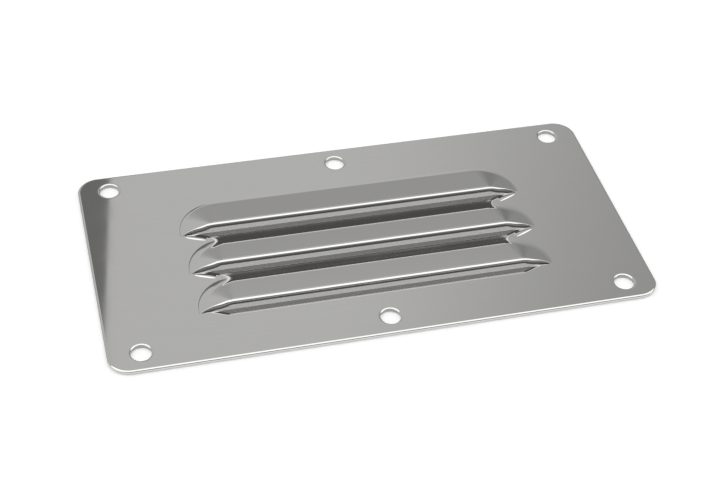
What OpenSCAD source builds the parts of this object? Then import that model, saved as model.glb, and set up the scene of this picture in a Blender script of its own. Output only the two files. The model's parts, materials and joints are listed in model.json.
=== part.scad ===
// Louvred vent cover pressed from one sheet of stainless steel.
// The plate lies flat on its back face with +Z out of the face that is seen.
// The origin is the middle of the back face, +X runs along the slots,
// and the slots open towards -Y.

/* [Plate] */
// Length of the plate, along the slots
plate_length = 127; // [100:1:200]
// Width of the plate, across the slots
plate_width = 65; // [56:1:120]
// Thickness of the sheet
sheet_thickness = 1; // [0.8:0.1:1.6]
// Radius of the four plate corners, seen from above
corner_radius = 5; // [2:0.5:12]
// Radius of the tumbled edge round the rim
edge_rounding = 0.4; // [0.1:0.05:0.5]

/* [Screw holes] */
// Diameter of each screw hole
hole_diameter = 4.6; // [3.2:0.1:6]
// Distance from a plate end to the centres of its holes
hole_end_margin = 7.5; // [6:0.1:14]
// Distance from a long side to the centres of its holes
hole_side_margin = 5.2; // [4.5:0.1:9]
// Number of holes along each long side
holes_per_side = 3; // [2:1:6]

/* [Louvres] */
// Number of louvres, one behind the other
louvre_count = 3; // [1:1:4]
// Length of each slot from tip to tip
louvre_length = 83.6; // [40:0.1:100]
// Depth of a hood, from its slot to the bend line behind it
hood_depth = 10.3; // [9.5:0.1:12]
// Height of a hood's crest above the face of the plate
hood_height = 2.3; // [1.6:0.1:4]
// Plan radius of the two rounded back corners of a hood
hood_end_radius = 9.3; // [5:0.1:9.4]
// Radius of the rolled lip along a hood's crest
lip_rounding = 0.4; // [0.1:0.05:0.5]
// Length of the straight ramp from a slot tip up to the crest
ramp_length = 6.2; // [3:0.1:9]
// Width of the flat land between a slot and the next hood
land_width = 2.7; // [1:0.1:5]

/* [Hidden] */

stainless = [0.70, 0.70, 0.69];

// Segments of the exact rounds, and of the rounds that shape a hood and its lip
exact_fn = 96;
hood_fn = 48;
lip_fn = 24;
// How far a cutting shape reaches past what it cuts
overcut = 1;
// Size of the sliver that stands for the sharp top of a hollow in a hull
sliver = 0.02;

// No rounding eats more than the edge of the sheet
rim_r = min(edge_rounding, 0.45 * sheet_thickness);
lip_r = min(lip_rounding, 0.45 * sheet_thickness);

half_length = plate_length / 2;
half_width = plate_width / 2;
hole_x = half_length - hole_end_margin;
hole_y = half_width - hole_side_margin;

// The bank of louvres is centred on the plate
louvre_pitch = hood_depth + land_width;
bank_width = (louvre_count - 1) * louvre_pitch + hood_depth;
first_slot_y = -bank_width / 2;

// The lip leans back, because it is square to the slope of its hood
crest_z = sheet_thickness + hood_height;
lip_lean = sheet_thickness * sin(atan(hood_height / hood_depth));
lip_y = lip_lean + lip_r;
lip_z = crest_z - lip_r;

// Slopes of the sheet behind a rolled lip and on the ends of a hood
lip_run = hood_depth - lip_y;
lip_rise = lip_z - sheet_thickness;
back_slope = atan(lip_rise / lip_run) + asin(lip_r / norm([lip_run, lip_rise]));
ramp_slope = atan(hood_height / ramp_length);
crest_half = louvre_length / 2 - ramp_length;

// The underside of a hood is set in so that the sheet keeps its thickness
back_inset = sheet_thickness * tan(back_slope / 2);
end_inset = sheet_thickness * tan(ramp_slope / 2);
hollow_z = (hood_depth - back_inset) * tan(back_slope);
hollow_half = louvre_length / 2 - end_inset;
hollow_crest_half = hollow_half - hollow_z / tan(ramp_slope);

// Section of the sheet between two rounded edges, reach wide on each side
module rounded_section(reach) {
    for (side = [-1, 1])
        for (level = [rim_r, sheet_thickness - rim_r])
            translate([side * (reach - rim_r), level])
                circle(r = rim_r, $fn = exact_fn);
    translate([-(reach - rim_r), 0])
        square([2 * (reach - rim_r), sheet_thickness]);
    translate([-reach, rim_r])
        square([2 * reach, sheet_thickness - 2 * rim_r]);
}

// Half of that section, for the round corners of the plate
module corner_section() {
    intersection() {
        rounded_section(corner_radius);
        square([corner_radius, sheet_thickness]);
    }
}

// Flat blank with round corners and a soft edge all round
module blank() {
    for (x = [-1, 1], y = [-1, 1])
        translate([x * (half_length - corner_radius), y * (half_width - corner_radius), 0])
            rotate_extrude($fn = exact_fn)
                corner_section();
    translate([-(half_length - corner_radius), 0, 0])
        rotate([90, 0, 90])
            linear_extrude(2 * (half_length - corner_radius))
                rounded_section(half_width);
    translate([0, half_width - corner_radius, 0])
        rotate([90, 0, 0])
            linear_extrude(2 * (half_width - corner_radius))
                rounded_section(half_length);
}

// One through hole for a screw
module screw_hole() {
    translate([0, 0, -overcut])
        cylinder(d = hole_diameter, h = sheet_thickness + 2 * overcut, $fn = exact_fn);
}

// A row of screw holes along each long side
module screw_holes() {
    spacing = 2 * hole_x / (holes_per_side - 1);
    for (i = [0 : holes_per_side - 1], side = [-1, 1])
        translate([-hole_x + i * spacing, side * hole_y, 0])
            screw_hole();
}

// Plan of a hood: straight along its slot, with two round back corners
module hood_plan(half, depth, radius) {
    corner_x = half - radius;
    intersection() {
        union() {
            for (side = [-1, 1])
                translate([side * corner_x, depth - radius])
                    circle(r = radius, $fn = hood_fn);
            translate([-corner_x, 0])
                square([2 * corner_x, depth]);
            translate([-half, 0])
                square([2 * half, depth - radius]);
        }
        translate([-half, 0])
            square([2 * half, depth]);
    }
}

// Outer form of a hood: its plan drawn up to a rolled lip over the slot
module hood_form() {
    hull() {
        linear_extrude(sheet_thickness)
            hood_plan(louvre_length / 2, hood_depth, hood_end_radius);
        translate([-crest_half, lip_y, lip_z])
            rotate([0, 90, 0])
                cylinder(r = lip_r, h = 2 * crest_half, $fn = lip_fn);
    }
}

// Hollow under a hood, open at the slot, that leaves the sheet its thickness
module hood_hollow() {
    hull() {
        translate([0, 0, -overcut])
            linear_extrude(overcut)
                hood_plan(hollow_half, hood_depth - back_inset, hood_end_radius - end_inset);
        translate([-hollow_crest_half, 0, hollow_z - sliver])
            cube([2 * hollow_crest_half, sliver, sliver]);
    }
}

// Place what follows at each slot of the bank
module at_each_slot() {
    for (i = [0 : louvre_count - 1])
        translate([0, first_slot_y + i * louvre_pitch, 0])
            children();
}

// The whole cover: a pierced blank with its hoods raised and hollowed
module vent_cover() {
    color(stainless)
        difference() {
            union() {
                blank();
                at_each_slot()
                    hood_form();
            }
            screw_holes();
            at_each_slot()
                hood_hollow();
        }
}

vent_cover();
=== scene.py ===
"""Looks of a louvred vent cover pressed from one sheet of polished stainless steel.

The sheet is one mesh: flat plate, hoods, slots and every rounded edge. It stands
for the solid of the same cover, at its size and in its place. A second operator
sets the pale floor, the studio light and the camera.
"""
import json
from collections import namedtuple
from math import atan2, cos, pi, radians, sin, sqrt, tan

import bpy
from bpy.props import FloatProperty, FloatVectorProperty, IntProperty, PointerProperty
from mathutils import Matrix, Vector
from mathutils.geometry import delaunay_2d_cdt


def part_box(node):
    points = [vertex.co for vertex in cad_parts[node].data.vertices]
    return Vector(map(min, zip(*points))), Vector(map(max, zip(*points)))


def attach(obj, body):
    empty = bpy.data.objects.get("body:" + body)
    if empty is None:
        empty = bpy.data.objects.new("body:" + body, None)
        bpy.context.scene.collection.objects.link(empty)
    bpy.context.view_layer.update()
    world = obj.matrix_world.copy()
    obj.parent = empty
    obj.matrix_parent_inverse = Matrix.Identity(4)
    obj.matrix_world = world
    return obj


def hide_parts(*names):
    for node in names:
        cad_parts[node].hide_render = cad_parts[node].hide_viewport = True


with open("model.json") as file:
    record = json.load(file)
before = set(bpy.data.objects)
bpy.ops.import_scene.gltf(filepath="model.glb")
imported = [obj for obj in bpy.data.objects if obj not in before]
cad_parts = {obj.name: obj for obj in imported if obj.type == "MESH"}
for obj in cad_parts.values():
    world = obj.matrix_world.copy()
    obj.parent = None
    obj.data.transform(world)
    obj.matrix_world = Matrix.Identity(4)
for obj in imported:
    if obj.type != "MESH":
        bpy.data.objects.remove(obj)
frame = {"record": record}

bl_info = {
    "name": "Louvred vent cover",
    "version": (1, 0, 0),
    "blender": (4, 5, 0),
    "location": "View3D > Sidebar > Vent cover",
    "description": "Builds a pressed sheet vent cover with louvres, and a plain stage for it",
    "category": "Object",
}

NODE = "vent_cover"
MM = 0.001

CAD_LOW, CAD_HIGH = (Vector(corner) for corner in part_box(NODE))
CAD_SIZE = CAD_HIGH - CAD_LOW


def mount(name):
    """The record's mount of that name."""
    return next(entry for entry in frame["record"]["mounts"] if entry["name"] == name)


SCREWS = mount("corner_screws")["dims"]
SHEET = 1.0 * MM
UP = Vector((0, 0, 1))

# Finishes of the sheet, by their place among its materials
POLISHED = 0
SHEARED = 1


class VentSizes(bpy.types.PropertyGroup):
    """Sizes of the pressed sheet"""
    length: FloatProperty(
        name="Plate length", description="Length along the slots",
        default=CAD_SIZE.x, unit="LENGTH")
    width: FloatProperty(
        name="Plate width", description="Width across the slots",
        default=CAD_SIZE.y, unit="LENGTH")
    thickness: FloatProperty(
        name="Sheet thickness", description="Thickness of the sheet",
        default=SHEET, unit="LENGTH")
    corner_radius: FloatProperty(
        name="Corner radius", description="Radius of the plate corners in plan",
        default=5 * MM, unit="LENGTH")
    rim_rounding: FloatProperty(
        name="Rim rounding", description="Radius of the tumbled edge round the rim",
        default=0.8 * MM, unit="LENGTH")
    hole_radius: FloatProperty(
        name="Hole radius", description="Radius of each screw hole",
        default=SCREWS["hole_r_mm"] * MM, unit="LENGTH")
    hole_rounding: FloatProperty(
        name="Hole rounding", description="Radius of the softened edge of each hole",
        default=0.7 * MM, unit="LENGTH")
    hole_spacing_x: FloatProperty(
        name="Hole spacing along", description="Between the end holes, along the plate",
        default=SCREWS["spacing_x_mm"] * MM, unit="LENGTH")
    hole_spacing_y: FloatProperty(
        name="Hole spacing across", description="Between the two rows of holes",
        default=SCREWS["spacing_y_mm"] * MM, unit="LENGTH")
    louvre_count: IntProperty(
        name="Louvres", description="Number of louvres, one behind the other",
        default=3, min=1, max=4)
    louvre_length: FloatProperty(
        name="Louvre length", description="Length of a hood between its end bends",
        default=82.9 * MM, unit="LENGTH")
    hood_depth: FloatProperty(
        name="Hood depth", description="From the slot to the bend line behind it",
        default=10.3 * MM, unit="LENGTH")
    hood_height: FloatProperty(
        name="Hood height", description="Height of a crest above the plate's face",
        default=CAD_SIZE.z - SHEET, unit="LENGTH")
    hood_end_radius: FloatProperty(
        name="Hood end radius", description="Plan radius of the back corners of a hood",
        default=9.3 * MM, unit="LENGTH")
    ramp_length: FloatProperty(
        name="Ramp length", description="From a hood's end up to its crest",
        default=6.1 * MM, unit="LENGTH")
    land_width: FloatProperty(
        name="Land width", description="Flat strip between a slot and the next hood",
        default=2.7 * MM, unit="LENGTH")
    end_bend: FloatProperty(
        name="End bend", description="Half width of the bend round a hood's ends",
        default=0.35 * MM, unit="LENGTH")
    back_bend: FloatProperty(
        name="Back bend", description="Half width of the bend behind the last hood",
        default=0.6 * MM, unit="LENGTH")
    land_bend: FloatProperty(
        name="Land bend", description="Half width of the soft bend along a land",
        default=1.7 * MM, unit="LENGTH")
    lip_roll: FloatProperty(
        name="Lip roll", description="Radius of the roll over a hood's lip",
        default=1.1 * MM, unit="LENGTH")
    lip_turn: FloatProperty(
        name="Lip turn", description="How far the lip rolls over before its corner",
        default=radians(46), subtype="ANGLE")
    lip_corner: FloatProperty(
        name="Lip corner", description="Radius of the corner between roll and cut face",
        default=0.5 * MM, unit="LENGTH")
    burr_radius: FloatProperty(
        name="Burr radius", description="Radius of the lifted edge along a slot",
        default=0.6 * MM, unit="LENGTH")
    burr_lift: FloatProperty(
        name="Burr lift", description="Angle to which the edge along a slot is lifted",
        default=radians(20), subtype="ANGLE")
    fold_width: FloatProperty(
        name="Fold width", description="Width of the outer side of a fold at a land's end",
        default=0.5 * MM, unit="LENGTH")
    fold_slope: FloatProperty(
        name="Fold slope", description="About the steepest angle of that side",
        default=radians(26), subtype="ANGLE")


class VentFinish(bpy.types.PropertyGroup):
    """Colours and wear of the steel"""
    steel: FloatVectorProperty(
        name="Steel", description="Colour of the polished faces",
        subtype="COLOR", size=4, default=(0.66, 0.655, 0.64, 1.0))
    # Cut-edge colour: partly the duller sheared finish, partly painted shade. It is set darker so
    # that the walls of the screw holes look shaded.
    sheared: FloatVectorProperty(
        name="Sheared edge", description="Colour of the cut edges",
        subtype="COLOR", size=4, default=(0.38, 0.375, 0.365, 1.0))
    roughness: FloatProperty(
        name="Roughness", description="Roughness of the polish",
        default=0.035, min=0.0, max=1.0)
    sheared_roughness: FloatProperty(
        name="Sheared roughness", description="Roughness of the cut edges",
        default=0.14, min=0.0, max=1.0)
    streaks: FloatProperty(
        name="Streaks", description="Strength of the polishing streaks",
        default=0.5, min=0.0, max=1.0)


class StudioLook(bpy.types.PropertyGroup):
    """Floor, light and lens"""
    floor: FloatVectorProperty(
        name="Floor", description="Colour of the floor",
        subtype="COLOR", size=4, default=(0.9, 0.9, 0.9, 1.0))
    floor_lift: FloatProperty(
        name="Floor lift", description="White added to the floor where it is seen",
        default=0.25, min=0.0)
    light_level: FloatProperty(
        name="Light level", description="Strength of the light from all round",
        default=1.0, min=0.0)
    lens: FloatProperty(
        name="Lens", description="Focal length on a 36 mm wide sensor",
        default=76.34 * MM, unit="CAMERA")


def line(start, end, steps):
    """Evenly spaced numbers from start to end, both included."""
    return [start + (end - start) * i / steps for i in range(steps + 1)]


class SheetMesh:
    """Points, normals and faces of the sheet as they are collected."""

    def __init__(self):
        self.points = []
        self.normals = []
        self.faces = []
        self.finishes = []

    def point(self, place, normal):
        """Add a point with its normal and return its number."""
        self.points.append(Vector(place))
        self.normals.append(Vector(normal).normalized())
        return len(self.points) - 1

    def face(self, corners, finish=POLISHED):
        """Add a face, leaving out corners that fall together."""
        kept = [c for i, c in enumerate(corners) if c != corners[i - 1]]
        if len(set(kept)) > 2:
            self.faces.append(kept)
            self.finishes.append(finish)

    def bridge(self, first, second):
        """Join two rows of points with quads."""
        for i in range(len(first) - 1):
            self.face((first[i], first[i + 1], second[i + 1], second[i]))

    def skin(self, tops, backs):
        """Join the rows of a face, and the rows of its back the other way round."""
        for first, second in zip(tops, tops[1:]):
            self.bridge(first, second)
        for first, second in zip(backs, backs[1:]):
            self.bridge(second, first)


# Steps of an edge's roll and of each of its corners, and the row of its sheared face
ROLL_STEPS = 8
CORNER_STEPS = 4
SHEARED_ROW = ROLL_STEPS + CORNER_STEPS

# Roll and corner of a lip low on its ramps, and how suddenly they reach full size
RAMP_ROLL = 0.3 * MM
RAMP_CORNER = 1.0 * MM
RAMP_CHANGE = 12

# Softened edges of the rim and the holes
ROUND_TURN = radians(38)
ROUND_CORNER = 0.15 * MM
RIM_FOOT = 0.3 * MM

# Cut edges: their foot, the corner of the lifted edge along a slot, and how far the
# cut face of a lip leans back as a share of the sheet's thickness
CUT_FOOT = 0.12 * MM
BURR_CORNER = 0.04 * MM
LIP_LEAN = 0.3


class Edge:
    """Shape of an edge of the sheet: a roll over the face, a corner, a foot."""

    def __init__(self, roll, turn, corner, foot, curl=0.0):
        self.roll = roll
        self.turn = turn
        self.corner = corner
        self.foot = foot
        self.curl = curl

    def inset(self):
        """Distance from the start of the roll to the sheared face."""
        return self.roll * sin(self.turn) + self.corner * (1 - sin(self.turn))

    def blunter(self, share):
        """This edge as it is on a ramp: a tight roll over a wide corner."""
        return Edge(RAMP_ROLL + (self.roll - RAMP_ROLL) * share, self.turn,
                    RAMP_CORNER + (self.corner - RAMP_CORNER) * share, self.foot, self.curl)

    def profile(self, place, normal, outward, thickness, scale=1.0):
        """Places and normals from the face of the sheet down to its back."""
        if scale <= 0:
            steps = line(0, 1, ROLL_STEPS + 2 * CORNER_STEPS + 2)
            return [(place - normal * thickness * t, outward + normal * (1 - 2 * t))
                    for t in steps]
        shape = []
        for angle in line(0, self.turn, ROLL_STEPS):
            shape.append((self.roll * sin(angle), self.roll * (1 - cos(angle)), angle))
        reach, drop, _ = shape[-1]
        for angle in line(self.turn, pi / 2, CORNER_STEPS)[1:]:
            shape.append((reach + self.corner * (sin(angle) - sin(self.turn)),
                          drop + self.corner * (cos(self.turn) - cos(angle)), angle))
        reach = shape[-1][0]
        bottom = thickness + self.curl * scale
        for angle in line(pi / 2, pi, CORNER_STEPS):
            shape.append((reach - self.foot * (1 - sin(angle)),
                          bottom / scale - self.foot * (1 + cos(angle)), angle))
        shape.append((0.0, thickness / scale, pi))
        return [(place + outward * out * scale - normal * down * scale,
                 normal * cos(angle) + outward * sin(angle))
                for out, down, angle in shape]


def edge_columns(sheet, tops, backs, outwards, scales, edge, thickness):
    """Add the points of an edge, in columns from the face of the sheet to its back."""
    columns = []
    for top, back, outward, scale in zip(tops, backs, outwards, scales):
        shape = edge.blunter(scale ** RAMP_CHANGE) if scale < 1 else edge
        profile = shape.profile(sheet.points[top], sheet.normals[top], outward, thickness,
                                scale)
        columns.append([top] + [sheet.point(*entry) for entry in profile[1:-1]] + [back])
    return columns


def fill_strip(sheet, columns, finish):
    """Fill an edge between its columns, with the sheared face in its own finish."""
    for column, following in zip(columns, columns[1:]):
        for row in range(len(column) - 1):
            sheet.face((column[row], column[row + 1], following[row + 1], following[row]),
                       finish if row == SHEARED_ROW else POLISHED)


def round_edge(sheet, places, outwards, edge, thickness, finish):
    """Add an edge round a loop of plan places; return its loops on face and back."""
    top, back = [], []
    for x, y in places:
        top.append(sheet.point((x, y, thickness), UP))
        back.append(sheet.point((x, y, 0), -UP))
    columns = edge_columns(sheet, top, back, outwards, [1.0] * len(top), edge, thickness)
    fill_strip(sheet, columns + columns[:1], finish)
    return top, back


def rounded_rectangle(half_length, half_width, radius, corner_steps, side_step):
    """Plan points and outward directions round a rectangle with round corners."""
    outline = []
    corners = ((1, 1, 0), (-1, 1, 90), (-1, -1, 180), (1, -1, 270))
    for i, (x, y, start) in enumerate(corners):
        centre = Vector((x * (half_length - radius), y * (half_width - radius)))
        for angle in line(radians(start), radians(start + 90), corner_steps):
            outward = Vector((cos(angle), sin(angle)))
            outline.append((centre + outward * radius, outward))
        following = corners[(i + 1) % len(corners)]
        target = Vector((following[0] * (half_length - radius),
                         following[1] * (half_width - radius))) + outward * radius
        begin = outline[-1][0]
        steps = max(2, round((target - begin).length / side_step))
        outline += [(begin.lerp(target, t), outward) for t in line(0, 1, steps)[1:-1]]
    return outline


# Width of the grid over the flat faces, its distance from every edge, and the
# distance at which two points are one, in metres
WEB_GRID = 3 * MM
WEB_GAP = 0.6 * WEB_GRID
SAME_PLACE = 1e-7

# Steps round a corner of the plate and round a screw hole
PLATE_CORNER_STEPS = 14
HOLE_STEPS = 56


def plate_rim(sheet, sizes):
    """Add the rim of the plate; return its loop on the face and on the back."""
    outline = rounded_rectangle(sizes.length / 2, sizes.width / 2, sizes.corner_radius,
                                PLATE_CORNER_STEPS, WEB_GRID)
    edge = Edge(sizes.rim_rounding, ROUND_TURN, ROUND_CORNER, RIM_FOOT)
    places = [plan - outward * edge.inset() for plan, outward in outline]
    outwards = [outward.to_3d() for _, outward in outline]
    return round_edge(sheet, places, outwards, edge, sizes.thickness, POLISHED)


def screw_hole(sheet, sizes, centre):
    """Add one screw hole; return its loop on the face and on the back."""
    edge = Edge(sizes.hole_rounding, ROUND_TURN, ROUND_CORNER, CUT_FOOT)
    spokes = [Vector((cos(angle), sin(angle), 0)) for angle in line(2 * pi, 0, HOLE_STEPS)[:-1]]
    places = [(centre + spoke * (sizes.hole_radius + edge.inset())).xy for spoke in spokes]
    # The hole walls take the cut-edge colour, whose darkness is partly painted shade.
    return round_edge(sheet, places, [-spoke for spoke in spokes], edge, sizes.thickness,
                      SHEARED)


# Lines up a hood: from a tip to the round corner, round the corner, along the crest
TIP_LINES = 4
CORNER_LINES = 28
CREST_LINES = 40

# Rows of points up each line: over the bend, and on the straight slope
BEND_ROWS = 10
SLOPE_ROWS = 9

# Arc in plan at each end of a crest: its length along the crest, and its depth
CREST_END = 1.5 * MM
CREST_CORNER = 0.3 * MM

# How far a widening bend draws a hood's round corner in, as a share of the widening
CORNER_DRAW = 0.9

HoodLine = namedtuple("HoodLine", "base along crest bend bulge")


def lip_edge(sizes):
    """Edge of a hood's lip, and the slope of the hood behind it.

    The edge has a wide roll, a tighter corner and a short cut face. Its curl is
    how much longer the cut face is than the sheet is thick.
    """
    edge = Edge(sizes.lip_roll, sizes.lip_turn, sizes.lip_corner, CUT_FOOT)
    run = sizes.hood_depth - edge.inset() - sizes.thickness * LIP_LEAN
    slope = atan2(sizes.hood_height, run)
    edge.curl = max(0.0, edge.inset() * tan(slope) + sizes.thickness / cos(slope)
                    - edge.roll * (1 / cos(slope) - 1) - sizes.thickness)
    return edge, slope


def mirrored(plan):
    """A plan point on the other side of the cover's middle."""
    return Vector((-plan.x, plan.y))


def hood_lines(sizes, back_bend):
    """Lines up a hood: base point, direction of the base, crest point, bend, bulge.

    They run from the left tip of the slot round the back to the right tip. On
    the round corners they gather at the end of the crest, like part of a cone.
    The bulge moves a line back, where the lip keeps its roll down to the tip.
    """
    half = sizes.louvre_length / 2
    depth, radius, end_bend = sizes.hood_depth, sizes.hood_end_radius, sizes.end_bend
    edge, slope = lip_edge(sizes)
    crest_y = edge.inset() * cos(slope) + (sizes.thickness + edge.curl) * sin(slope)
    side_y = crest_y - CREST_CORNER
    crest_half = half - sizes.ramp_length
    tip_y = side_y * end_bend / (sizes.ramp_length + end_bend)
    left = []
    for t in line(0, 1, TIP_LINES)[:-1]:
        base = Vector((-half, tip_y + t * (depth - radius - tip_y)))
        left.append(HoodLine(base, Vector((0, 1)), Vector((-crest_half, side_y)), end_bend,
                             (1 - t) * side_y))
    for angle in line(pi, pi / 2, CORNER_LINES):
        share = (pi - angle) / (pi / 2)
        wide = 1 - (1 - share) ** 2
        inward = radius - (back_bend - end_bend) * (wide - share ** 3) * CORNER_DRAW
        base = Vector((-half + radius + inward * cos(angle),
                       depth - radius + inward * sin(angle)))
        crest = Vector((-crest_half + CREST_END * (1 + cos(angle)),
                        crest_y - CREST_CORNER * (1 - sin(angle))))
        left.append(HoodLine(base, Vector((sin(angle), -cos(angle))), crest,
                             end_bend + (back_bend - end_bend) * wide, 0.0))
    begin, end = left[-1].base, Vector((half - radius, depth))
    crest_begin = left[-1].crest
    crest_end = mirrored(crest_begin)
    middle = [HoodLine(begin.lerp(end, t), Vector((1, 0)), crest_begin.lerp(crest_end, t),
                       back_bend, 0.0) for t in line(0, 1, CREST_LINES)[1:-1]]
    right = [HoodLine(mirrored(entry.base), -mirrored(entry.along), mirrored(entry.crest),
                      entry.bend, entry.bulge) for entry in reversed(left)]
    return left + middle + right


def lip_growth(part):
    """Share of its full roll that a lip has at a share of the way up a ramp."""
    return 1 - (1 - part) ** 3


def bend_height(distance, slope, bend):
    """Rise of the sheet past a bend line, and the share of the slope reached."""
    if distance >= bend:
        return slope * distance, 1.0
    share = (distance + bend) / (2 * bend)
    return slope * (distance + bend) * share / 2, share


def hood_surface(sheet, sizes, slot_y, back_bend):
    """Add one hood's face and back; return their rows of points, line by line."""
    thickness = sizes.thickness
    edge, _ = lip_edge(sizes)
    tops, backs = [], []
    for base, along, crest, bend, bulge in hood_lines(sizes, back_bend):
        run = crest - base
        reach = run.length
        height = sizes.hood_height - edge.roll * (1 - cos(atan2(sizes.hood_height, reach)))
        slope = height / reach
        facing = Vector((along.x, along.y, 0)).cross(Vector((run.x, run.y, height)))
        if facing.z < 0:
            facing = -facing
        lean_x, lean_y = facing.x / facing.z, facing.y / facing.z
        top, back = [], []
        for distance in line(-bend, bend, BEND_ROWS) + line(bend, reach, SLOPE_ROWS)[1:]:
            rise, share = bend_height(distance, slope, bend)
            part = (distance + bend) / (reach + bend)
            plan = base + run * (distance / reach)
            shift = bulge * (lip_growth(part) - part)
            place = Vector((plan.x, slot_y + plan.y + shift, thickness + rise))
            normal = Vector((lean_x * share, lean_y * share, 1)).normalized()
            top.append(sheet.point(place, normal))
            back.append(sheet.point(place - normal * thickness, -normal))
        tops.append(top)
        backs.append(back)
    sheet.skin(tops, backs)
    return tops, backs


def hood_lip(sheet, sizes, tops, backs):
    """Close the rolled and sheared lip of a hood; return its columns, tip to tip."""
    lip = tops[0] + [row[-1] for row in tops[1:-1]] + tops[-1][::-1]
    under = backs[0] + [row[-1] for row in backs[1:-1]] + backs[-1][::-1]
    full = sheet.points[tops[0][-1]].z - sizes.thickness
    scales = [lip_growth(min(1.0, (sheet.points[number].z - sizes.thickness) / full))
              for number in lip]
    outwards = []
    for number in lip:
        normal = sheet.normals[number]
        outwards.append((normal * normal.y - Vector((0, 1, 0))).normalized())
    edge, _ = lip_edge(sizes)
    columns = edge_columns(sheet, lip, under, outwards, scales, edge, sizes.thickness)
    fill_strip(sheet, columns, SHEARED)
    return columns


# Steps along a slot, and the length over which its edge starts at each tip
SLOT_STEPS = 60
SLOT_TAPER = 4 * MM


def slot_edge(sheet, sizes, slot_y, left_tip, right_tip):
    """Add the plate's own edge along a slot, from the right tip to the left tip.

    The tips are the columns of points at both ends of the hood's lip.
    """
    left, right = sheet.points[left_tip[0]], sheet.points[right_tip[0]]
    edge = Edge(-sizes.burr_radius, -sizes.burr_lift, BURR_CORNER, CUT_FOOT)
    top, back, columns = [], [], []
    for x in line(right.x, left.x, SLOT_STEPS)[1:-1]:
        share = min(1.0, (right.x - x) / SLOT_TAPER, (x - left.x) / SLOT_TAPER)
        y = slot_y - edge.inset() * share
        top.append(sheet.point((x, y, sizes.thickness), UP))
        back.append(sheet.point((x, y, 0), -UP))
        profile = edge.profile(sheet.points[top[-1]], UP, Vector((0, 1, 0)),
                               sizes.thickness, share)
        columns.append([top[-1]] + [sheet.point(*entry) for entry in profile[1:-1]]
                       + [back[-1]])
    fill_strip(sheet, [right_tip] + columns + [left_tip], SHEARED)
    return top, back


def louvre(sheet, sizes, slot_y, back_bend):
    """Add one louvre; return the loop round it on the face and on the back."""
    tops, backs = hood_surface(sheet, sizes, slot_y, back_bend)
    columns = hood_lip(sheet, sizes, tops, backs)
    top, back = slot_edge(sheet, sizes, slot_y, columns[0], columns[-1])
    return [row[0] for row in tops] + top, [row[0] for row in backs] + back


# Ridge of a fold: its start and end, in from the end of the slot and forward of it
FOLD_START = Vector((0.45, 0.3)) * MM
FOLD_END = Vector((5.6, 2.45)) * MM

# Fold: steps along it, width of its inner side, how far along that is widest, and
# the power of the curve that its outer side and its height follow
FOLD_STEPS = 12
FOLD_INNER = 1.3 * MM
FOLD_PEAK = 0.7
FOLD_CURVE = 2.5


def fold_rows(sizes, slot_y, side):
    """Places and normals across a fold, row by row from its start to its end."""
    half = sizes.louvre_length / 2
    start = Vector((side * (half - FOLD_START.x), slot_y - FOLD_START.y))
    end = Vector((side * (half - FOLD_END.x), slot_y - FOLD_END.y))
    along = (end - start).normalized()
    across = Vector((along.y, -along.x))
    if across.y > 0:
        across = -across
    rows = []
    for t in line(0, 1, FOLD_STEPS):
        centre = start.lerp(end, t)
        size = sqrt(1 - abs(2 * t - 1) ** FOLD_CURVE)
        wane = max(0.0, (t - FOLD_PEAK) / (1 - FOLD_PEAK))
        outer = sizes.fold_width * size
        inner = FOLD_INNER * min(t, FOLD_PEAK) / FOLD_PEAK * sqrt(1 - wane * wane)
        height = sizes.fold_slope * size * outer * 2 / pi
        row = []
        for u in line(-1, 1, 2 * FOLD_STEPS):
            width = outer if u > 0 else inner
            rise = height * (1 + cos(pi * u)) / 2
            tilt = sin(pi * u) * height * pi / 2 / width if width > 0 else 0.0
            place = centre + across * (width * u)
            row.append((Vector((place.x, place.y, sizes.thickness + rise)),
                        Vector((across.x * tilt, across.y * tilt, 1))))
        rows.append(row)
    return rows


def land_fold(sheet, sizes, slot_y, side):
    """Add the low fold between a slot's end and the hood in front of it.

    Its first and last rows are one point each. Return its loop on the face and
    on the back, anticlockwise in plan.
    """
    rows = fold_rows(sizes, slot_y, side)
    tops, backs = [], []
    for row in rows:
        pointed = row is rows[0] or row is rows[-1]
        kept, copies = (row[:1], len(row)) if pointed else (row, 1)
        tops.append([sheet.point(place, normal) for place, normal in kept] * copies)
        backs.append([sheet.point((place.x, place.y, 0), -UP) for place, _ in kept] * copies)
    if side > 0:
        tops, backs = tops[::-1], backs[::-1]
    sheet.skin(tops, backs)
    return tuple([row[0] for row in grid] + [row[-1] for row in grid[-2:0:-1]]
                 for grid in (tops, backs))


def inside(point, polygon):
    """Whether a plan point lies in a polygon."""
    found = False
    for i, (x, y) in enumerate(polygon):
        ahead_x, ahead_y = polygon[i - 1]
        if (y > point[1]) != (ahead_y > point[1]):
            if point[0] < (ahead_x - x) * (point[1] - y) / (ahead_y - y) + x:
                found = not found
    return found


def on_web(point, plans):
    """Whether a plan point lies inside the rim and outside every opening."""
    return inside(point, plans[0]) and not any(inside(point, hole) for hole in plans[1:])


def clear_of(point, loops, gap):
    """Whether a plan point keeps a gap from every loop of points."""
    return all((point[0] - x) ** 2 + (point[1] - y) ** 2 > gap * gap
               for loop in loops for x, y in loop)


def web_grid(sizes, plans):
    """Plan points of a square grid that lie on the web, clear of its edges."""
    across = max(2, round(sizes.length / WEB_GRID))
    up = max(2, round(sizes.width / WEB_GRID))
    return [(x, y) for x in line(-sizes.length / 2, sizes.length / 2, across)
            for y in line(-sizes.width / 2, sizes.width / 2, up)
            if clear_of((x, y), plans, WEB_GAP) and on_web((x, y), plans)]


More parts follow.
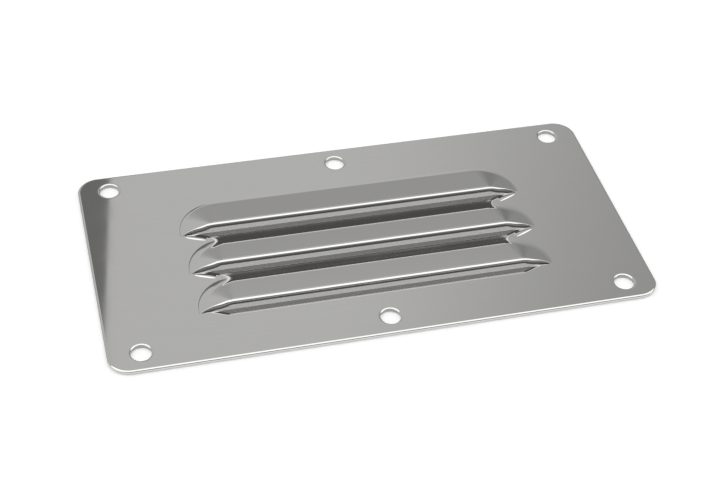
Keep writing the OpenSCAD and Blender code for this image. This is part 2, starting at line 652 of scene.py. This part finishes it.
def flat_web(sheet, sizes, rim, openings):
    """Fill the flat face and the flat back between the rim and the openings.

    Each loop is a pair: its points on the face and the same ones on the back.
    """
    loops = [rim] + openings
    plans = [[tuple(sheet.points[number].xy) for number in face] for face, _ in loops]
    tops = [number for face, _ in loops for number in face]
    backs = [number for _, back in loops for number in back]
    plan = [point for loop in plans for point in loop]
    edges = []
    for loop in plans:
        begin = len(edges)
        edges += [(begin + i, begin + (i + 1) % len(loop)) for i in range(len(loop))]
    for x, y in web_grid(sizes, plans):
        plan.append((x, y))
        tops.append(sheet.point((x, y, sizes.thickness), UP))
        backs.append(sheet.point((x, y, 0), -UP))
    places, _, triangles, origins, _, _ = delaunay_2d_cdt(
        [Vector(point) for point in plan], edges, [], 0, SAME_PLACE)
    for triangle in triangles:
        middle = sum((places[i] for i in triangle), Vector((0, 0))) / len(triangle)
        if on_web(middle, plans):
            corners = [origins[i][0] for i in triangle]
            sheet.face([tops[i] for i in corners])
            sheet.face([backs[i] for i in reversed(corners)])


def press_sheet(sizes):
    """Collect the whole sheet."""
    sheet = SheetMesh()
    rim = plate_rim(sheet, sizes)
    openings = []
    for x in (-0.5, 0, 0.5):
        for y in (-0.5, 0.5):
            centre = Vector((x * sizes.hole_spacing_x, y * sizes.hole_spacing_y, 0))
            openings.append(screw_hole(sheet, sizes, centre))
    pitch = sizes.hood_depth + sizes.land_width
    bank = (sizes.louvre_count - 1) * pitch + sizes.hood_depth
    for i in range(sizes.louvre_count):
        last = i == sizes.louvre_count - 1
        slot_y = i * pitch - bank / 2
        openings.append(louvre(sheet, sizes, slot_y,
                               sizes.back_bend if last else sizes.land_bend))
        if i > 0:
            openings += [land_fold(sheet, sizes, slot_y, side) for side in (-1, 1)]
    flat_web(sheet, sizes, rim, openings)
    return sheet


def sheet_object(sheet, name):
    """Turn the collected sheet into an object with its own normals."""
    mesh = bpy.data.meshes.new(name)
    mesh.from_pydata(sheet.points, [], sheet.faces)
    mesh.polygons.foreach_set("material_index", sheet.finishes)
    mesh.polygons.foreach_set("use_smooth", [True] * len(mesh.polygons))
    mesh.update()
    mesh.normals_split_custom_set_from_vertices(sheet.normals)
    piece = bpy.data.objects.new(name, mesh)
    bpy.context.scene.collection.objects.link(piece)
    return piece


def link(tree, start, end):
    """Join two sockets of a node tree."""
    tree.links.new(start, end)


def feed(tree, entry, socket):
    """Give a socket a number, or what another socket puts out."""
    if isinstance(entry, (int, float)):
        socket.default_value = entry
    else:
        link(tree, entry, socket)


def arithmetic(tree, operation, first, second=0.0):
    """Math node on two sockets or numbers."""
    node = tree.nodes.new("ShaderNodeMath")
    node.operation = operation
    feed(tree, first, node.inputs[0])
    feed(tree, second, node.inputs[1])
    return node.outputs["Value"]


def rescale(tree, value, source, target=(0.0, 1.0), kind="LINEAR"):
    """Node that carries a value over from one range to another."""
    node = tree.nodes.new("ShaderNodeMapRange")
    node.interpolation_type = kind
    for label, number in zip(("From Min", "From Max", "To Min", "To Max"), source + target):
        node.inputs[label].default_value = number
    link(tree, value, node.inputs["Value"])
    return node.outputs["Result"]


def noise(tree, place, scale, detail):
    """Noise node over a place, from 0 to 1."""
    node = tree.nodes.new("ShaderNodeTexNoise")
    node.inputs["Scale"].default_value = scale
    node.inputs["Detail"].default_value = detail
    link(tree, place, node.inputs["Vector"])
    return node.outputs["Fac"]


# Polishing streaks: how often they change along and across the sheet, per metre,
# their detail, and how much they darken and lighten the steel
STREAK_SCALE = (60, 3200, 3200)
STREAK_DETAIL = 4
STREAK_TINT = (0.975, 1.025)

# Smears: how often they change per metre, their detail, the part of the noise that
# is used, and how much they smooth and roughen the steel
SMEAR_SCALE = 90
SMEAR_DETAIL = 3
SMEAR_PART = (0.3, 0.75)
SMEAR_ROUGHNESS = (0.85, 1.35)

# Height of the streaks on the polished and on the sheared faces
POLISHED_RELIEF = 0.0008 * MM
SHEARED_RELIEF = 0.004 * MM


def polish_group():
    """Node group for polished sheet: streaks along the length, faint smears."""
    name = "polished_sheet"
    if name in bpy.data.node_groups:
        return bpy.data.node_groups[name]
    tree = bpy.data.node_groups.new(name, "ShaderNodeTree")
    for label, kind, default in (("Colour", "NodeSocketColor", (0.66, 0.65, 0.64, 1)),
                                 ("Roughness", "NodeSocketFloat", 0.1),
                                 ("Streaks", "NodeSocketFloat", 0.5)):
        tree.interface.new_socket(label, in_out="INPUT", socket_type=kind).default_value = default
    for label, kind in (("Colour", "NodeSocketColor"), ("Roughness", "NodeSocketFloat"),
                        ("Height", "NodeSocketFloat")):
        tree.interface.new_socket(label, in_out="OUTPUT", socket_type=kind)
    source = tree.nodes.new("NodeGroupInput").outputs
    result = tree.nodes.new("NodeGroupOutput").inputs
    place = tree.nodes.new("ShaderNodeTexCoord").outputs["Object"]
    stretch = tree.nodes.new("ShaderNodeMapping")
    stretch.inputs["Scale"].default_value = STREAK_SCALE
    link(tree, place, stretch.inputs["Vector"])
    streak = noise(tree, stretch.outputs["Vector"], 1, STREAK_DETAIL)
    smear = noise(tree, place, SMEAR_SCALE, SMEAR_DETAIL)
    tint = tree.nodes.new("ShaderNodeVectorMath")
    tint.operation = "SCALE"
    link(tree, source["Colour"], tint.inputs[0])
    link(tree, rescale(tree, streak, (0.0, 1.0), STREAK_TINT), tint.inputs["Scale"])
    rough = arithmetic(tree, "MULTIPLY", source["Roughness"],
                       rescale(tree, smear, SMEAR_PART, SMEAR_ROUGHNESS))
    link(tree, tint.outputs["Vector"], result["Colour"])
    link(tree, rough, result["Roughness"])
    link(tree, arithmetic(tree, "MULTIPLY", streak, source["Streaks"]), result["Height"])
    return tree


def steel_material(name, colour, roughness, streaks, relief):
    """Polished or sheared stainless steel."""
    material = bpy.data.materials.new(name)
    material.use_nodes = True
    tree = material.node_tree
    shader = tree.nodes["Principled BSDF"]
    shader.inputs["Metallic"].default_value = 1.0
    polish = tree.nodes.new("ShaderNodeGroup")
    polish.node_tree = polish_group()
    polish.inputs["Colour"].default_value = colour
    polish.inputs["Roughness"].default_value = roughness
    polish.inputs["Streaks"].default_value = streaks
    bump = tree.nodes.new("ShaderNodeBump")
    bump.inputs["Strength"].default_value = 1.0
    bump.inputs["Distance"].default_value = relief
    link(tree, polish.outputs["Colour"], shader.inputs["Base Color"])
    link(tree, polish.outputs["Roughness"], shader.inputs["Roughness"])
    link(tree, polish.outputs["Height"], bump.inputs["Height"])
    link(tree, bump.outputs["Normal"], shader.inputs["Normal"])
    return material


class VENT_OT_press_cover(bpy.types.Operator):
    """Press the vent cover out of its sheet and polish it"""
    bl_idname = "vent.press_cover"
    bl_label = "Press cover"

    def execute(self, context):
        sizes, finish = context.scene.vent_sizes, context.scene.vent_finish
        cover = sheet_object(press_sheet(sizes), "vent_cover_sheet")
        cover.data.materials.append(steel_material(
            "polished_stainless", finish.steel, finish.roughness, finish.streaks,
            POLISHED_RELIEF))
        # Cut faces: sheared finish, with painted shade in its darker colour, seen most on the
        # hole walls.
        cover.data.materials.append(steel_material(
            "sheared_stainless_and_painted_shade", finish.sheared, finish.sheared_roughness, 1.0,
            SHEARED_RELIEF))
        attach(cover, "root")
        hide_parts(NODE)
        return {"FINISHED"}


# Half the side of the floor, in metres, and its roughness
FLOOR_HALF = 3.0
FLOOR_ROUGHNESS = 0.9


def floor_plane(studio):
    """Pale floor under the cover, whiter where it is seen or mirrored."""
    half = FLOOR_HALF
    mesh = bpy.data.meshes.new("floor")
    mesh.from_pydata([(-half, -half, 0), (half, -half, 0), (half, half, 0), (-half, half, 0)],
                     [], [(0, 1, 2, 3)])
    plane = bpy.data.objects.new("floor", mesh)
    plane.location.z = CAD_LOW.z
    bpy.context.scene.collection.objects.link(plane)
    material = bpy.data.materials.new("pale_floor")
    material.use_nodes = True
    tree = material.node_tree
    shader = tree.nodes["Principled BSDF"]
    shader.inputs["Base Color"].default_value = studio.floor
    shader.inputs["Roughness"].default_value = FLOOR_ROUGHNESS
    shader.inputs["Specular IOR Level"].default_value = 0.0
    ways = tree.nodes.new("ShaderNodeLightPath").outputs
    seen = arithmetic(tree, "MAXIMUM", ways["Is Camera Ray"], ways["Is Glossy Ray"])
    seen = arithmetic(tree, "MAXIMUM", seen, ways["Is Transmission Ray"])
    shader.inputs["Emission Color"].default_value = (1, 1, 1, 1)
    link(tree, arithmetic(tree, "MULTIPLY", seen, studio.floor_lift),
         shader.inputs["Emission Strength"])
    mesh.materials.append(material)
    return plane


# Walls of the light tent: their levels from the foot up, and the heights over the
# horizon between which each level gives way to the next, in degrees
WALL_LEVELS = (0.08, 0.42, 0.64)
FOOT_TOP = (4, 12)
LOW_WALL_TOP = (13, 22)

# Right side of the tent: where it begins, in degrees from the rear, its levels and
# the heights between them
RIGHT_START = (14, 34)
RIGHT_LEVELS = (0.35, 0.41)
RIGHT_WALL_TOP = (14, 28)

# Dark flag at the rear: its level, its upright left edge and its lower edge in
# degrees, the direction square to its slanted right edge, and how soft that edge is
FLAG_LEVEL = 0.2
FLAG_LEFT = (-1.5, 0.5)
FLAG_FOOT = (24, 30)
FLAG_SIDE = (0.98499, -0.14588, 0.09225)
FLAG_BLUR = 0.0005

# Dark front: its level, and how far it reaches to both sides in degrees
FRONT_LEVEL = 0.24
FRONT_SIDES = (75, 50)

# Soft box overhead: its level, its rear and front edges in degrees from the rear
# over the top, and its ends as shares of a direction along the cover
BOX_LEVEL = 1.6
BOX_REAR = (64, 66)
BOX_FRONT = (115, 111)
BOX_ENDS = (0.9, 0.8)


def smooth_step(tree, value, low, high):
    """Node that rises from 0 at low to 1 at high."""
    return rescale(tree, value, (low, high), kind="SMOOTHSTEP")


def angle_step(tree, angle, degrees):
    """Step between two angles in degrees."""
    return smooth_step(tree, angle, *(radians(entry) for entry in degrees))


def height_step(tree, up, degrees):
    """Step between two heights over the horizon in degrees."""
    return smooth_step(tree, up, *(sin(radians(entry)) for entry in degrees))


def mix_levels(tree, share, low, high):
    """Light level that goes from low to high with a share."""
    node = tree.nodes.new("ShaderNodeMix")
    node.data_type = "FLOAT"
    link(tree, share, node.inputs["Factor"])
    feed(tree, low, node.inputs[2])
    feed(tree, high, node.inputs[3])
    return node.outputs[0]


def toward(tree, direction, axis):
    """Share of a direction that lies along an axis."""
    product = tree.nodes.new("ShaderNodeVectorMath")
    product.operation = "DOT_PRODUCT"
    link(tree, direction, product.inputs[0])
    product.inputs[1].default_value = axis
    return product.outputs["Value"]


def tent_walls(tree, azimuth, up):
    """Level of the walls: dark at the foot, and dimmer on the right side."""
    foot, low, high = WALL_LEVELS
    wall = mix_levels(tree, height_step(tree, up, FOOT_TOP), foot, low)
    wall = mix_levels(tree, height_step(tree, up, LOW_WALL_TOP), wall, high)
    right = mix_levels(tree, height_step(tree, up, RIGHT_WALL_TOP), *RIGHT_LEVELS)
    return mix_levels(tree, angle_step(tree, azimuth, RIGHT_START), wall, right)


def flag_share(tree, direction, azimuth, up):
    """Where the dark flag hangs."""
    right = smooth_step(tree, toward(tree, direction, FLAG_SIDE), FLAG_BLUR, -FLAG_BLUR)
    sides = arithmetic(tree, "MULTIPLY", right, angle_step(tree, azimuth, FLAG_LEFT))
    return arithmetic(tree, "MULTIPLY", sides, height_step(tree, up, FLAG_FOOT))


def front_share(tree, east, north):
    """Where the front of the tent is dark."""
    azimuth = arithmetic(tree, "ARCTAN2", east, arithmetic(tree, "MULTIPLY", north, -1))
    return angle_step(tree, arithmetic(tree, "ABSOLUTE", azimuth), FRONT_SIDES)


def box_share(tree, east, north, up):
    """Where the soft box hangs."""
    rise = arithmetic(tree, "ARCTAN2", up, north)
    box = arithmetic(tree, "MULTIPLY", angle_step(tree, rise, BOX_REAR),
                     angle_step(tree, rise, BOX_FRONT))
    ends = smooth_step(tree, arithmetic(tree, "ABSOLUTE", east), *BOX_ENDS)
    return arithmetic(tree, "MULTIPLY", box, ends)


def studio_world(studio):
    """Light tent: pale walls, a dark flag, a dark front and a soft box overhead."""
    world = bpy.data.worlds.new("light_tent")
    world.use_nodes = True
    tree = world.node_tree
    direction = tree.nodes.new("ShaderNodeTexCoord").outputs["Generated"]
    split = tree.nodes.new("ShaderNodeSeparateXYZ")
    link(tree, direction, split.inputs["Vector"])
    east, north, up = split.outputs
    azimuth = arithmetic(tree, "ARCTAN2", east, north)
    tent = tent_walls(tree, azimuth, up)
    tent = mix_levels(tree, flag_share(tree, direction, azimuth, up), tent, FLAG_LEVEL)
    tent = mix_levels(tree, front_share(tree, east, north), tent, FRONT_LEVEL)
    tent = mix_levels(tree, box_share(tree, east, north, up), tent, BOX_LEVEL)
    background = tree.nodes["Background"]
    background.inputs["Color"].default_value = (1, 1, 1, 1)
    link(tree, arithmetic(tree, "MULTIPLY", tent, studio.light_level),
         background.inputs["Strength"])
    bpy.context.scene.world = world


# Camera: its place and what it looks at, fitted to the cover's outline and holes, its
# roll, the width of its sensor in mm and the nearest distance that it sees
CAMERA_PLACE = Vector((-75.22, -255.80, 243.37)) * MM
CAMERA_TARGET = Vector((-1.35, -3.32, 0.0)) * MM
CAMERA_ROLL = radians(3.43)
SENSOR_WIDTH = 36.0
CLIP_START = 10 * MM


def studio_camera(studio):
    """Camera in front of the slots, left of the middle and above the cover."""
    data = bpy.data.cameras.new("camera")
    data.lens = studio.lens / MM
    data.sensor_width = SENSOR_WIDTH
    data.sensor_fit = "HORIZONTAL"
    data.clip_start = CLIP_START
    camera = bpy.data.objects.new("camera", data)
    bpy.context.scene.collection.objects.link(camera)
    aim = (CAMERA_TARGET - CAMERA_PLACE).to_track_quat("-Z", "Y").to_matrix()
    turn = Matrix.Rotation(CAMERA_ROLL, 3, "Z")
    camera.matrix_world = Matrix.Translation(CAMERA_PLACE) @ (aim @ turn).to_4x4()
    bpy.context.scene.camera = camera


class VENT_OT_set_stage(bpy.types.Operator):
    """Set the pale floor, the light tent and the camera"""
    bl_idname = "vent.set_stage"
    bl_label = "Set stage"

    def execute(self, context):
        studio = context.scene.vent_studio
        floor_plane(studio)
        studio_world(studio)
        studio_camera(studio)
        context.scene.view_settings.view_transform = "Standard"
        return {"FINISHED"}


class VENT_PT_panel(bpy.types.Panel):
    """Buttons and sizes of the vent cover"""
    bl_idname = "VENT_PT_panel"
    bl_label = "Vent cover"
    bl_space_type = "VIEW_3D"
    bl_region_type = "UI"
    bl_category = "Vent cover"

    def draw(self, context):
        for group in (context.scene.vent_sizes, context.scene.vent_finish,
                      context.scene.vent_studio):
            for name in group.bl_rna.properties.keys():
                if name not in ("rna_type", "name"):
                    self.layout.prop(group, name)
        for operator in OPERATORS:
            self.layout.operator(operator.bl_idname)


OPERATORS = (VENT_OT_press_cover, VENT_OT_set_stage)
CLASSES = (VentSizes, VentFinish, StudioLook) + OPERATORS + (VENT_PT_panel,)


def register():
    """Register the classes and hang their settings on the scene."""
    for entry in CLASSES:
        bpy.utils.register_class(entry)
    bpy.types.Scene.vent_sizes = PointerProperty(type=VentSizes)
    bpy.types.Scene.vent_finish = PointerProperty(type=VentFinish)
    bpy.types.Scene.vent_studio = PointerProperty(type=StudioLook)


def unregister():
    """Take the settings and the classes away again."""
    del bpy.types.Scene.vent_studio
    del bpy.types.Scene.vent_finish
    del bpy.types.Scene.vent_sizes
    for entry in reversed(CLASSES):
        bpy.utils.unregister_class(entry)


def main():
    """Build everything."""
    register()
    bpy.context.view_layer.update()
    bpy.ops.vent.press_cover()
    bpy.ops.vent.set_stage()


if __name__ == "__main__":
    main()
